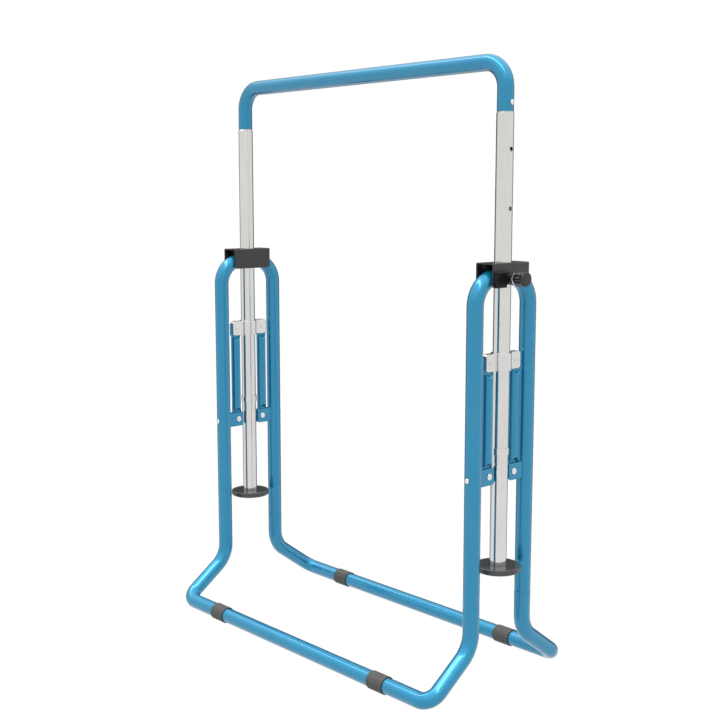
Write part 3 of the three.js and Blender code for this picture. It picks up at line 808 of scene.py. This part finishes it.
def build_foot_disc(side):
    node = f"foot_disc_{side}"
    low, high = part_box(node)
    radius = half_size(node).y
    top = high.z - DISC_HUB_HEIGHT
    hub = POST_RADIUS - POST_WALL - 0.0007
    bore = 0.0036
    disc = turned("disc", [
        (bore, low.z + 0.004), (0.009, low.z, 0.0003), (radius - 0.004, low.z),
        (radius, low.z + 0.002, 0.003), (radius, top - 0.0035), (radius, top - 0.001, 0.0028),
        (radius - 0.004, top, 0.003),
        (radius - 0.0075, top - 0.0001), (hub, top - 0.0002), (hub, high.z, 0.0012), (bore, high.z),
    ], "z", (POST_X[side], 0, 0), FINE_SEGMENTS, 5)
    stand_for(disc, node, angle=55)


def build_disc_screw(side):
    node = f"disc_screw_{side}"
    low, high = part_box(node)
    head = half_size(node).y
    screw = turned("screw", [
        (0, low.z), (head - 0.0003, low.z), (head, low.z + 0.0004, 0.0003),
        (BOLT_RADIUS, low.z + 0.0042, 0.0005), (BOLT_RADIUS, high.z, 0.0008), (0, high.z),
    ], "z", (POST_X[side], 0, 0), COARSE_SEGMENTS)
    socket = rod(0.0029, low.z - 0.001, low.z + 0.0025, "z", (POST_X[side], 0, 0), 6)
    minus(screw, socket)
    stand_for(screw, node, angle=40)


def build_domed_bolt(node, axis, head, dome_height, x=0.0):
    """A bolt that points away from the middle of the object along X or Y."""
    sign, inner, outer = outward_ends(node, axis)
    profile = domed_bolt(inner, outer - dome_height, outer, head)
    bolt = turned("bolt", profile, axis, (0, 0, middle(node).z), COARSE_SEGMENTS)
    place_at(bolt, sign < 0, x)
    stand_for(bolt, node, BOLT_LOOK, angle=50)


def build_bar_screw(side):
    node = f"bar_screw_{side}"
    build_domed_bolt(node, "x", half_size(node).y, BAR_SCREW_HEAD)


def build_leg_bolt(place):
    node = f"leg_bolt_{place}"
    build_domed_bolt(node, "y", half_size(node).x, LEG_BOLT_HEAD, middle(node).x)


def leg_axis(place):
    """Sign of the end a leg stands at, and the place of its upright axis."""
    node = f"leg_{place}"
    end, _, outer = outward_ends(node)
    return end, middle(node).x, end * (outer - TUBE_RADIUS)


def build_leg(place):
    node = f"leg_{place}"
    low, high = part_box(node)
    end, x, axis_y = leg_axis(place)
    end_y = low.y if end > 0 else high.y
    top = high.z - TUBE_RADIUS
    corners = [(x, axis_y, low.z), (x, axis_y, top), (x, end_y, top)]
    leg = tube("leg", corners, [LEG_BEND], TUBE_RADIUS, rim=0.0003)
    stand_for(leg, node)


def build_base_corner(place):
    node = f"base_corner_{place}"
    low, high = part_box(node)
    end, x, axis_y = leg_axis(place)
    runner = middle(f"runner_{'rear' if end > 0 else 'front'}")
    inner_x = low.x if x > 0 else high.x
    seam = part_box(f"leg_{place}")[0].z - 2 * GAP
    corners = [
        (x, axis_y, seam), (x, axis_y, CORNER_KNEE), (x, runner.y, runner.z), (inner_x, runner.y, runner.z),
    ]
    radii = [CORNER_UPPER_BEND, CORNER_LOWER_BEND]
    corner = tube("corner", corners, radii, TUBE_RADIUS, rim=0.0003)
    stand_for(corner, node)
    spigot_radius = TUBE_RADIUS - TUBE_WALL - 0.0002
    spigot = turned("spigot", [
        (spigot_radius - TUBE_WALL, seam - 0.010), (spigot_radius, seam - 0.010),
        (spigot_radius, high.z, 0.0006), (spigot_radius - TUBE_WALL, high.z),
    ], "z", (x, axis_y, 0))
    added_to(spigot, node, f"spigot_{place}", LOOKS["zinc"])
    # A thin blue-painted ring closes the gap at the seam; its lighter blue edge colour is a painted
    # highlight, the light line along the seam.
    ring_inner, ring_outer = spigot_radius + 0.00002, TUBE_RADIUS - 0.0002
    ring_low = seam + 0.00005
    ring_high = ring_low + SEAM_HIGHLIGHT_RING_HEIGHT
    ring = turned("seam", [
        (ring_inner, ring_low), (ring_outer, ring_low, 0.0001), (ring_outer, ring_high, 0.0001),
        (ring_inner, ring_high),
    ], "z", (x, axis_y, 0))
    added_to(ring, node, f"seam_highlight_ring_{place}", LOOKS["blue_paint"], angle=60)


def build_runner(row):
    node = f"runner_{row}"
    low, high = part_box(node)
    centre = middle(node)
    corners = [(low.x, centre.y, centre.z), (high.x, centre.y, centre.z)]
    stand_for(tube("runner", corners, [], TUBE_RADIUS), node)


def build_sleeve(place):
    node = f"foot_sleeve_{place}"
    half = half_size(node)
    radius = half.z
    bore = TUBE_RADIUS + 0.0001
    centre_x = middle(node).x
    step = half.x - SLEEVE_LIP
    ring = turned("sleeve", [
        (bore, -half.x + 0.0008), (bore + 0.0003, -half.x), (radius - 0.0012, -half.x, 0.0003),
        (radius - 0.0008, -step), (radius, -step + 0.0002, 0.0001), (radius, step - 0.0002, 0.0001),
        (radius - 0.0008, step), (radius - 0.0012, half.x, 0.0003), (bore + 0.0003, half.x),
        (bore, half.x - 0.0008),
    ], "x", middle(node))
    stand_for(ring, node, angle=60)
    # The end faces take the near-black look: painted shade for the shadowed ring at each end.
    ring.data.materials.append(SLEEVE_END_SHADE_LOOK)
    for face in ring.data.polygons:
        if abs(face.center.x - centre_x) > step - 0.00005:
            face.material_index = 1


def pressed_tube(low_z, high_z, centre, radius, flat_half_width):
    """A round tube whose ends are pressed flat, with a curved crease where each flat begins."""
    taper, dip = 0.010, 0.009
    wide_power, deep_power = 0.9, 0.28
    heights = [0, 0.01, 0.018, 0.024] + [0.026 + 0.0012 * k for k in range(28)] + [0.064, 0.072, 0.080]
    length = high_z - low_z
    middle_part = [0.08 + (length - 0.16) * k / 5 for k in range(1, 5)]
    stops = heights + middle_part + [length - h for h in reversed(heights)]

    def ring(stop, inner):
        fit = []
        wall = BRACE_WALL if inner else 0.0
        for c, s in unit_circle(SEGMENTS):
            from_end = min(stop, length - stop) - dip * c ** 2
            t = smoothed((from_end - BRACE_FLAT_LENGTH + dip / 2) / taper)
            round_x, round_y = (radius - wall) * c, (radius - wall) * s
            flat_x = (BRACE_FLAT_HALF_DEPTH - wall) * math.copysign(abs(c) ** deep_power, c)
            flat_y = (flat_half_width - wall) * math.copysign(abs(s) ** wide_power, s)
            fit.append(Vector((centre[0] + flat_x + (round_x - flat_x) * t,
                               centre[1] + flat_y + (round_y - flat_y) * t,
                               low_z + stop)))
        return fit

    rings = [ring(s, False) for s in stops] + [ring(s, True) for s in reversed(stops)]
    points, index = indexed(rings)
    return mesh_from("brace", points, ring_faces(index, closed=True))


def build_brace(place):
    node = f"brace_{place}"
    low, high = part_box(node)
    half = half_size(node)
    brace = pressed_tube(low.z, high.z, middle(node), half.x, half.y)
    finish_edges(brace, 50, weighted=False)
    stand_for(brace, node)


def build_tab(place):
    node = f"brace_tab_{place}"
    low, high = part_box(node)
    half = half_size(node)
    end, inner, outer = outward_ends(node)
    leg_y = abs(leg_axis(place)[2])
    edge = 0.0008
    past = 0.01
    corners = (0.007, edge, edge, 0.0025)
    body = slab("tab", (inner, low.z), (outer + 0.004, high.z), corners, -half.x, half.x, edge)
    room = rod(TUBE_RADIUS + 0.0002, low.z - past, high.z + past, "z", (0, leg_y, 0), FINE_SEGMENTS)
    pocket_low = (-half.x + TAB_WALL, inner - past, low.z - past)
    pocket_high = (half.x - TAB_WALL, leg_y - TUBE_RADIUS - 0.0034, high.z + past)
    minus(body, room, block(pocket_low, pocket_high))
    finish_edges(body, 40)
    bake(body)
    place_at(body, end < 0, middle(node).x)
    stand_for(body, node)


def build_rivet(node, dome_height):
    half = half_size(node)
    seat = half.x - dome_height
    outer = dome(seat, half.z, dome_height)
    if node.startswith("tab"):
        outer = outer[:-2] + [
            (0.0022, half.x - 0.0001, 0.0002), (0.0019, half.x - 0.0010, 0.0003), (0, half.x - 0.0011),
        ]
    inner = [(entry[0], -entry[1], *entry[2:]) for entry in reversed(outer)]
    shank = [(BOLT_RADIUS, -seat), (BOLT_RADIUS, seat)]
    rivet = turned("rivet", inner + shank + outer, "x", middle(node), COARSE_SEGMENTS)
    stand_for(rivet, node, BOLT_LOOK if node.startswith("tab") else CLAMP_LOOK, angle=50)


def build_bracket(side):
    node = f"bracket_{side}"
    low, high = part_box(node)
    width = half_size(node).y
    depth = BRACKET_HALF_DEPTH
    bottom, top = low.z, high.z
    reach = (high.x if side == "right" else -low.x) - abs(POST_X[side])
    shell = bracket_shell(depth, width, bottom, top)
    post_hole = rod(BRACKET_POST_HOLE, top - 0.012, top + 0.01, segments=FINE_SEGMENTS)
    notch = slab("notch", (-0.020, bottom - 0.01), (0.020, bottom + 0.006), (0.001, 0.001, 0.0015, 0.0015),
                 depth - 0.006, depth + 0.006, 0.00002)
    pin_hole = rod(BOSS_BORE, 0.015, 0.04, "x", (0, 0, PIN_HEIGHT))
    boss_start = depth - 0.0015
    boss = turned("boss", [
        (BOSS_BORE, boss_start), (BOSS_RADIUS, boss_start), (BOSS_RADIUS, reach, 0.0010),
        (BOSS_BORE, reach, 0.0005),
    ], "x", (0, 0, PIN_HEIGHT))
    minus(shell, post_hole, notch, pin_hole)
    plus(shell, boss)
    finish_edges(shell, 42)
    bake(shell)
    on_side(shell, side)
    stand_for(shell, node)


def bracket_shell(depth, width, bottom, top):
    """A channel folded from plate: rounded folds above, rounded lower corners, open ends."""
    fold, lip, corner = 0.0030, 0.0007, 0.007
    wall = BRACKET_WALL

    def section(lift, inset):
        """The folded section in X and Z, from one lower lip over the top to the other."""
        outer = depth - inset
        roof = top - inset
        inner = depth - wall + inset
        ceiling = top - wall + inset
        foot = bottom + lift + inset
        points = []
        for k in range(5):
            angle = k / 4 * math.pi / 2
            points.append((outer - fold + fold * math.cos(angle), roof - fold + fold * math.sin(angle)))
        right = [(outer - 0.0002, foot), (outer, foot + 0.0003)] + points
        left = [(-x, z) for x, z in reversed(right)]
        under = [(-inner, foot), (-inner, ceiling - 0.0006), (-inner + 0.0006, ceiling)]
        return right + left + under + [(-x, z) for x, z in reversed(under)]

    stops = []
    for k in range(9):
        angle = k / 8 * math.pi / 2
        stops.append((width - corner + corner * math.sin(angle), corner * (1 - math.cos(angle)), 0.0))
    stops[-1] = (width - lip, stops[-1][1] - lip, 0.0)
    stops.append((width, stops[-1][1], lip))
    right_half = [(0.0, 0.0, 0.0), (0.03, 0.0, 0.0)] + stops
    both = [(-y, lift, inset) for y, lift, inset in reversed(right_half[1:])] + right_half
    rings = [[Vector((x, y, z)) for x, z in section(lift, inset)] for y, lift, inset in both]
    points, index = indexed(rings)
    faces = ring_faces(index)
    for ring in (index[0], index[-1]):
        faces += end_faces(ring)
    return mesh_from("shell", points, faces)


def end_faces(ring):
    """Quads across a folded section's wall thickness, between its outer and inner points."""
    outer, inner = ring[:14], list(reversed(ring[14:]))
    faces = []
    pairs = [0, 0, 1, 1, 1, 1, 2, 3, 4, 4, 4, 4, 5, 5]
    for k in range(13):
        a, b = pairs[k], pairs[k + 1]
        face = [outer[k], outer[k + 1], inner[b]]
        if a != b:
            face.append(inner[a])
        faces.append(tuple(face))
    return faces


def build_guide_sleeve(side):
    node = f"guide_sleeve_{side}"
    low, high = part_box(node)
    outer = half_size(node).y
    corners = ((GUIDE_BORE, low.z), (outer, low.z), (outer, high.z), (GUIDE_BORE, high.z))
    ring = turned("sleeve", [(*corner, 0.0006) for corner in corners], "z", (POST_X[side], 0, 0))
    hole = rod(0.0052, 0.005, 0.03, "x", segments=COARSE_SEGMENTS)
    on_side(hole, side, z=PIN_HEIGHT)
    minus(ring, hole)
    stand_for(ring, node, angle=40)


def build_lock_block(side):
    node = f"lock_block_{side}"
    low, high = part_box(node)
    body = slab("block", (low.y, low.z), (high.y, high.z), (0.0026,) * 4, low.x, high.x, 0.0018)
    stand_for(body, node, LOCK_LOOK, angle=50)


def build_pin_housing(side):
    node = f"pin_housing_{side}"
    _, start, end = outward_ends(node, "x", abs(POST_X[side]))
    corner = half_size(node).y
    centre = (0, 0, middle(node).z)
    front_bore = PIN_RADIUS + 0.0009
    body = turned("housing", [
        (CHAMBER_RADIUS, start), (HOUSING_RADIUS, start, 0.0003), (HOUSING_RADIUS, 0.040),
        (HOUSING_RADIUS, end, 0.0008), (front_bore, end, 0.0003), (front_bore, CHAMBER_END),
        (CHAMBER_RADIUS, CHAMBER_END),
    ], "x", centre)
    nut_bore = HOUSING_RADIUS + 0.0001
    nut_start, nut_end = HOUSING_NUT
    nut = turned("nut", [
        (nut_bore, nut_start), (corner - 0.0022, nut_start), (corner, 0.0360, 0.0003),
        (corner, 0.0384, 0.0003), (corner - 0.0022, nut_end), (nut_bore, nut_end),
    ], "x", centre, 6)
    on_side(body, side)
    on_side(nut, side)
    stand_for(body, node, BOLT_LOOK, angle=35)
    added_to(nut, node, f"housing_nut_{side}", BOLT_LOOK, angle=35)


def build_lock_pin(side):
    node = f"lock_pin_{side}"
    _, start, end = outward_ends(node, "x", abs(POST_X[side]))
    collar_start, collar_end = PIN_COLLAR
    body = turned("pin", [
        (0, start), (0.0038, start, 0.0005), (PIN_NOSE_RADIUS, start + 0.001, 0.0004),
        (PIN_NOSE_RADIUS, collar_start), (PIN_COLLAR_RADIUS, collar_start, 0.0002),
        (PIN_COLLAR_RADIUS, collar_end, 0.0002), (PIN_RADIUS, collar_end), (PIN_RADIUS, end, 0.0004),
        (0, end),
    ], "x", (0, 0, middle(node).z), COARSE_SEGMENTS)
    on_side(body, side)
    stand_for(body, node, angle=40)


def build_pin_spring(side):
    """The return spring, which shortens against the housing's front wall when the knob is pulled; here it is
    built as a coil at one length.
    """
    node = f"pin_spring_{side}"
    _, start, end = outward_ends(node, "x", abs(POST_X[side]))
    wire, radius = SPRING_WIRE_RADIUS, SPRING_RADIUS
    per_turn = 32
    steps = SPRING_TURNS * per_turn
    stations = []
    length = end - start - 2 * wire
    pitch = length / (2 * math.pi * SPRING_TURNS)
    for k in range(steps + 1):
        angle = 2 * math.pi * k / per_turn
        x = start + wire + length * k / steps
        c, s = radius * math.cos(angle), radius * math.sin(angle)
        stations.append((Vector((x, c, s)), Vector((pitch, -s, c)).normalized()))
    rings = []
    for point, heading in stations:
        outward = Vector((0, point.y, point.z)).normalized()
        side_way = heading.cross(outward)
        rings.append([point + (outward * c + side_way * s) * wire for c, s in unit_circle(10)])
    coil = capped("spring", rings)
    height = middle(node).z
    on_side(coil, side, z=height)
    stand_for(coil, node)
    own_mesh(coil)


def build_pull_knob(side):
    """A fluted grip that runs into a smooth rounded head, hollow behind."""
    node = f"pull_knob_{side}"
    _, start, end = outward_ends(node, "x", abs(POST_X[side]))
    head = half_size(node).y
    count = 2 * SEGMENTS
    grip_end = end - KNOB_HEAD_LENGTH
    outer = [
        (0.0140, start), (0.0149, start + 0.0003), (0.0153, start + 0.0012), (0.0154, start + 0.004),
        (0.0154, grip_end - 0.006), (0.0154, grip_end - 0.0035), (0.0155, grip_end - 0.0018),
        (0.0159, grip_end - 0.0006), (head, grip_end + 0.0010), (head, grip_end + 0.0026),
        (head - 0.0001, end - 0.0042), (head - 0.0006, end - 0.0028), (head - 0.0016, end - 0.0014),
        (head - 0.0030, end - 0.0005), (head - 0.0048, end), (head - 0.0090, end), (0.004, end),
    ]
    rings = []
    for radius, along in outer:
        depth = KNOB_FLUTE_DEPTH * smoothed((grip_end - 0.0006 - along) / 0.0030)
        ring = []
        for i, (c, s) in enumerate(unit_circle(count)):
            wave = math.cos(KNOB_FLUTES * (2 * math.pi * i / count))
            size = radius - depth * (1 - (0.5 + 0.5 * wave) ** 0.6)
            ring.append(Vector((along, size * c, size * s)))
        rings.append(ring)
    hollow = [
        (KNOB_PIN_BORE, KNOB_PIN_SEAT), (KNOB_PIN_BORE, 0.0545), (KNOB_BORE, 0.054),
        (KNOB_BORE, start + 0.002), (0.0112, start + 0.0008), (0.0128, start),
    ]
    inner = [[Vector((along, r * c, r * s)) for c, s in unit_circle(count)] for r, along in hollow]
    knob = capped("knob", inner + rings)
    on_side(knob, side, z=middle(node).z)
    stand_for(knob, node, angle=50)


def build_guide_clamp(side):
    node = f"guide_clamp_{side}"
    low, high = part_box(node)
    width = half_size(node).y
    past = 0.005
    wings = slab("wings", (-width, low.z), (width, high.z), (0.007,) * 4,
                 -WING_HALF_THICKNESS, WING_HALF_THICKNESS, 0.0014)
    collar = turned("collar", [
        (0.012, low.z), (COLLAR_RADIUS, low.z, 0.0012), (COLLAR_RADIUS, high.z, 0.0012), (0.012, high.z),
    ], segments=FINE_SEGMENTS)
    core = rod(0.013, low.z + 0.0001, high.z - 0.0001, segments=32)
    plus(wings, collar, core)
    mouth, rim = GUIDE_BORE + 0.006, GUIDE_BORE + 0.0008
    bore = turned("bore", [
        (0, low.z - past), (mouth, low.z - past), (rim, low.z), (GUIDE_BORE, low.z + 0.0008),
        (GUIDE_BORE, high.z - 0.0008), (rim, high.z), (mouth, high.z + past), (0, high.z + past),
    ], segments=FINE_SEGMENTS)
    slots = []
    for end in (-1, 1):
        reach = sorted(end * v for v in (COLLAR_RADIUS + 0.0005, width + past))
        slots.append(block((-0.0026, reach[0], low.z - past), (0.0026, reach[1], high.z - 0.004)))
    minus(wings, bore, *slots)
    finish_edges(wings, 40)
    bake(wings)
    place_at(wings, False, POST_X[side])
    stand_for(wings, node, CLAMP_LOOK)


SIDE_BUILDERS = (
    build_post, build_foot_disc, build_disc_screw, build_bar_screw, build_bracket, build_guide_sleeve,
    build_lock_block, build_pin_housing, build_lock_pin, build_pin_spring, build_pull_knob,
    build_guide_clamp,
)
CORNER_BUILDERS = (build_leg, build_base_corner, build_sleeve, build_brace, build_tab, build_leg_bolt)

build_top_bar()
for side in SIDES:
    for build in SIDE_BUILDERS:
        build(side)
    for row in ROWS:
        place = f"{side}_{row}"
        for build in CORNER_BUILDERS:
            build(place)
        build_rivet(f"tab_bolt_{place}", TAB_BOLT_HEAD)
        build_rivet(f"clamp_rivet_{place}", CLAMP_RIVET_HEAD)
for row in ROWS:
    build_runner(row)

# ---- floor, light and world ----


FLOOR_HALF_WIDTH = 30.0
SUN_STRENGTH = 6.0
SUN_SPREAD = 90
SKY_LEVEL = 0.6             # light on rough surfaces, from above and from the floor
FLOOR_BOUNCE = 1.15
FRONT_REFLECTED = 0.86      # what a shiny surface mirrors in each direction
FLOOR_REFLECTED = 0.90
FAR_REFLECTED = 0.03
CEILING_EXTRA = 0.5
CEILING_START = 0.25
CEILING_FULL = 0.90
STRIP_REFLECTED = 7.0
STRIP_ACROSS = Vector((0.20, 0.930, 0.310)).normalized()
STRIP_EDGE = (0.04, 0.09)
STRIP_HEIGHT = (0.62, 0.88)
FAR_SIDE = (-0.74, 0.673, 0)
FAR_START = 0.45
FAR_FULL = 0.80
LIGHT_COLOUR = (0.96, 1.0, 0.98)
LIGHT_AIM = Vector((-0.10, 0.16, -1))


def build_floor():
    mesh = bpy.data.meshes.new("floor")
    signs = ((-1, -1), (1, -1), (1, 1), (-1, 1))
    corners = [(x * FLOOR_HALF_WIDTH, y * FLOOR_HALF_WIDTH, 0) for x, y in signs]
    mesh.from_pydata(corners, [], [(0, 1, 2, 3)])
    floor = new_object("floor", mesh)
    look = Look("floor_white", Base_Color=(0, 0, 0, 1), Roughness=1.0, Specular_IOR_Level=0.0)
    look.set("Emission Color", (1, 1, 1))
    look.set("Emission Strength", 1.0)
    mesh.materials.append(look.material)
    floor.visible_glossy = False
    floor.visible_diffuse = False


def soft_sun():
    """A very wide sun almost overhead, as a ceiling of soft boxes gives."""
    light = bpy.data.lights.new("ceiling_light", "SUN")
    light.energy = SUN_STRENGTH
    light.angle = math.radians(SUN_SPREAD)
    light.color = LIGHT_COLOUR
    obj = new_object("ceiling_light", light)
    obj.visible_glossy = False
    obj.rotation_euler = LIGHT_AIM.to_track_quat("-Z", "Y").to_euler()


class WorldNodes(Look):
    """The same short calls for the world's own node tree."""

    def __init__(self, world):
        self.tree = world.node_tree
        self.tree.nodes.clear()

    def direction_along(self, vector):
        place = self.node("ShaderNodeTexCoord").outputs["Generated"]
        dot = self.node("ShaderNodeVectorMath", operation="DOT_PRODUCT")
        self.link(place, dot.inputs[0])
        dot.inputs[1].default_value = vector
        return dot.outputs["Value"]


def build_world():
    """White studio: shiny surfaces see a bright front and ceiling and a dark far side."""
    world = bpy.data.worlds.new("studio")
    bpy.context.scene.world = world
    world.use_nodes = True
    nodes = WorldNodes(world)
    height = nodes.direction_along((0, 0, 1))
    far = nodes.direction_along(FAR_SIDE)
    far_share = nodes.spread(far, FAR_START, FAR_FULL, 0.0, 1.0)
    below = nodes.spread(height, -0.40, -0.22, 0.0, 1.0)
    above = nodes.spread(height, 0.32, 0.66, 1.0, 0.0)
    dark = nodes.math("MULTIPLY", far_share, nodes.math("MULTIPLY", below, above))
    front_level = nodes.spread(height, -0.45, -0.10, FLOOR_REFLECTED, FRONT_REFLECTED)
    ceiling = nodes.spread(height, CEILING_START, CEILING_FULL, 0.0, CEILING_EXTRA)
    open_side = nodes.grey(nodes.math("ADD", front_level, ceiling))
    walls = nodes.mix(dark, open_side, (FAR_REFLECTED,) * 3)
    off_strip = nodes.math("ABSOLUTE", nodes.direction_along(STRIP_ACROSS))
    across = nodes.spread(off_strip, *STRIP_EDGE, 1.0, 0.0)
    strip = nodes.math("MULTIPLY", across, nodes.spread(height, *STRIP_HEIGHT, 0.0, 1.0))
    glossy = nodes.mix(strip, walls, (STRIP_REFLECTED,) * 3)
    bounce = nodes.spread(height, -0.12, 0.12, FLOOR_BOUNCE, SKY_LEVEL)
    paths = nodes.node("ShaderNodeLightPath")
    lit = nodes.mix(paths.outputs["Is Glossy Ray"], nodes.grey(bounce), glossy)
    seen = nodes.mix(paths.outputs["Is Camera Ray"], lit, (1, 1, 1))
    background = nodes.node("ShaderNodeBackground")
    nodes.link(seen, background.inputs["Color"])
    output = nodes.node("ShaderNodeOutputWorld")
    nodes.link(background.outputs[0], output.inputs["Surface"])


build_floor()
soft_sun()
build_world()
bpy.context.scene.view_settings.view_transform = "Standard"
bpy.context.scene.view_settings.look = "None"
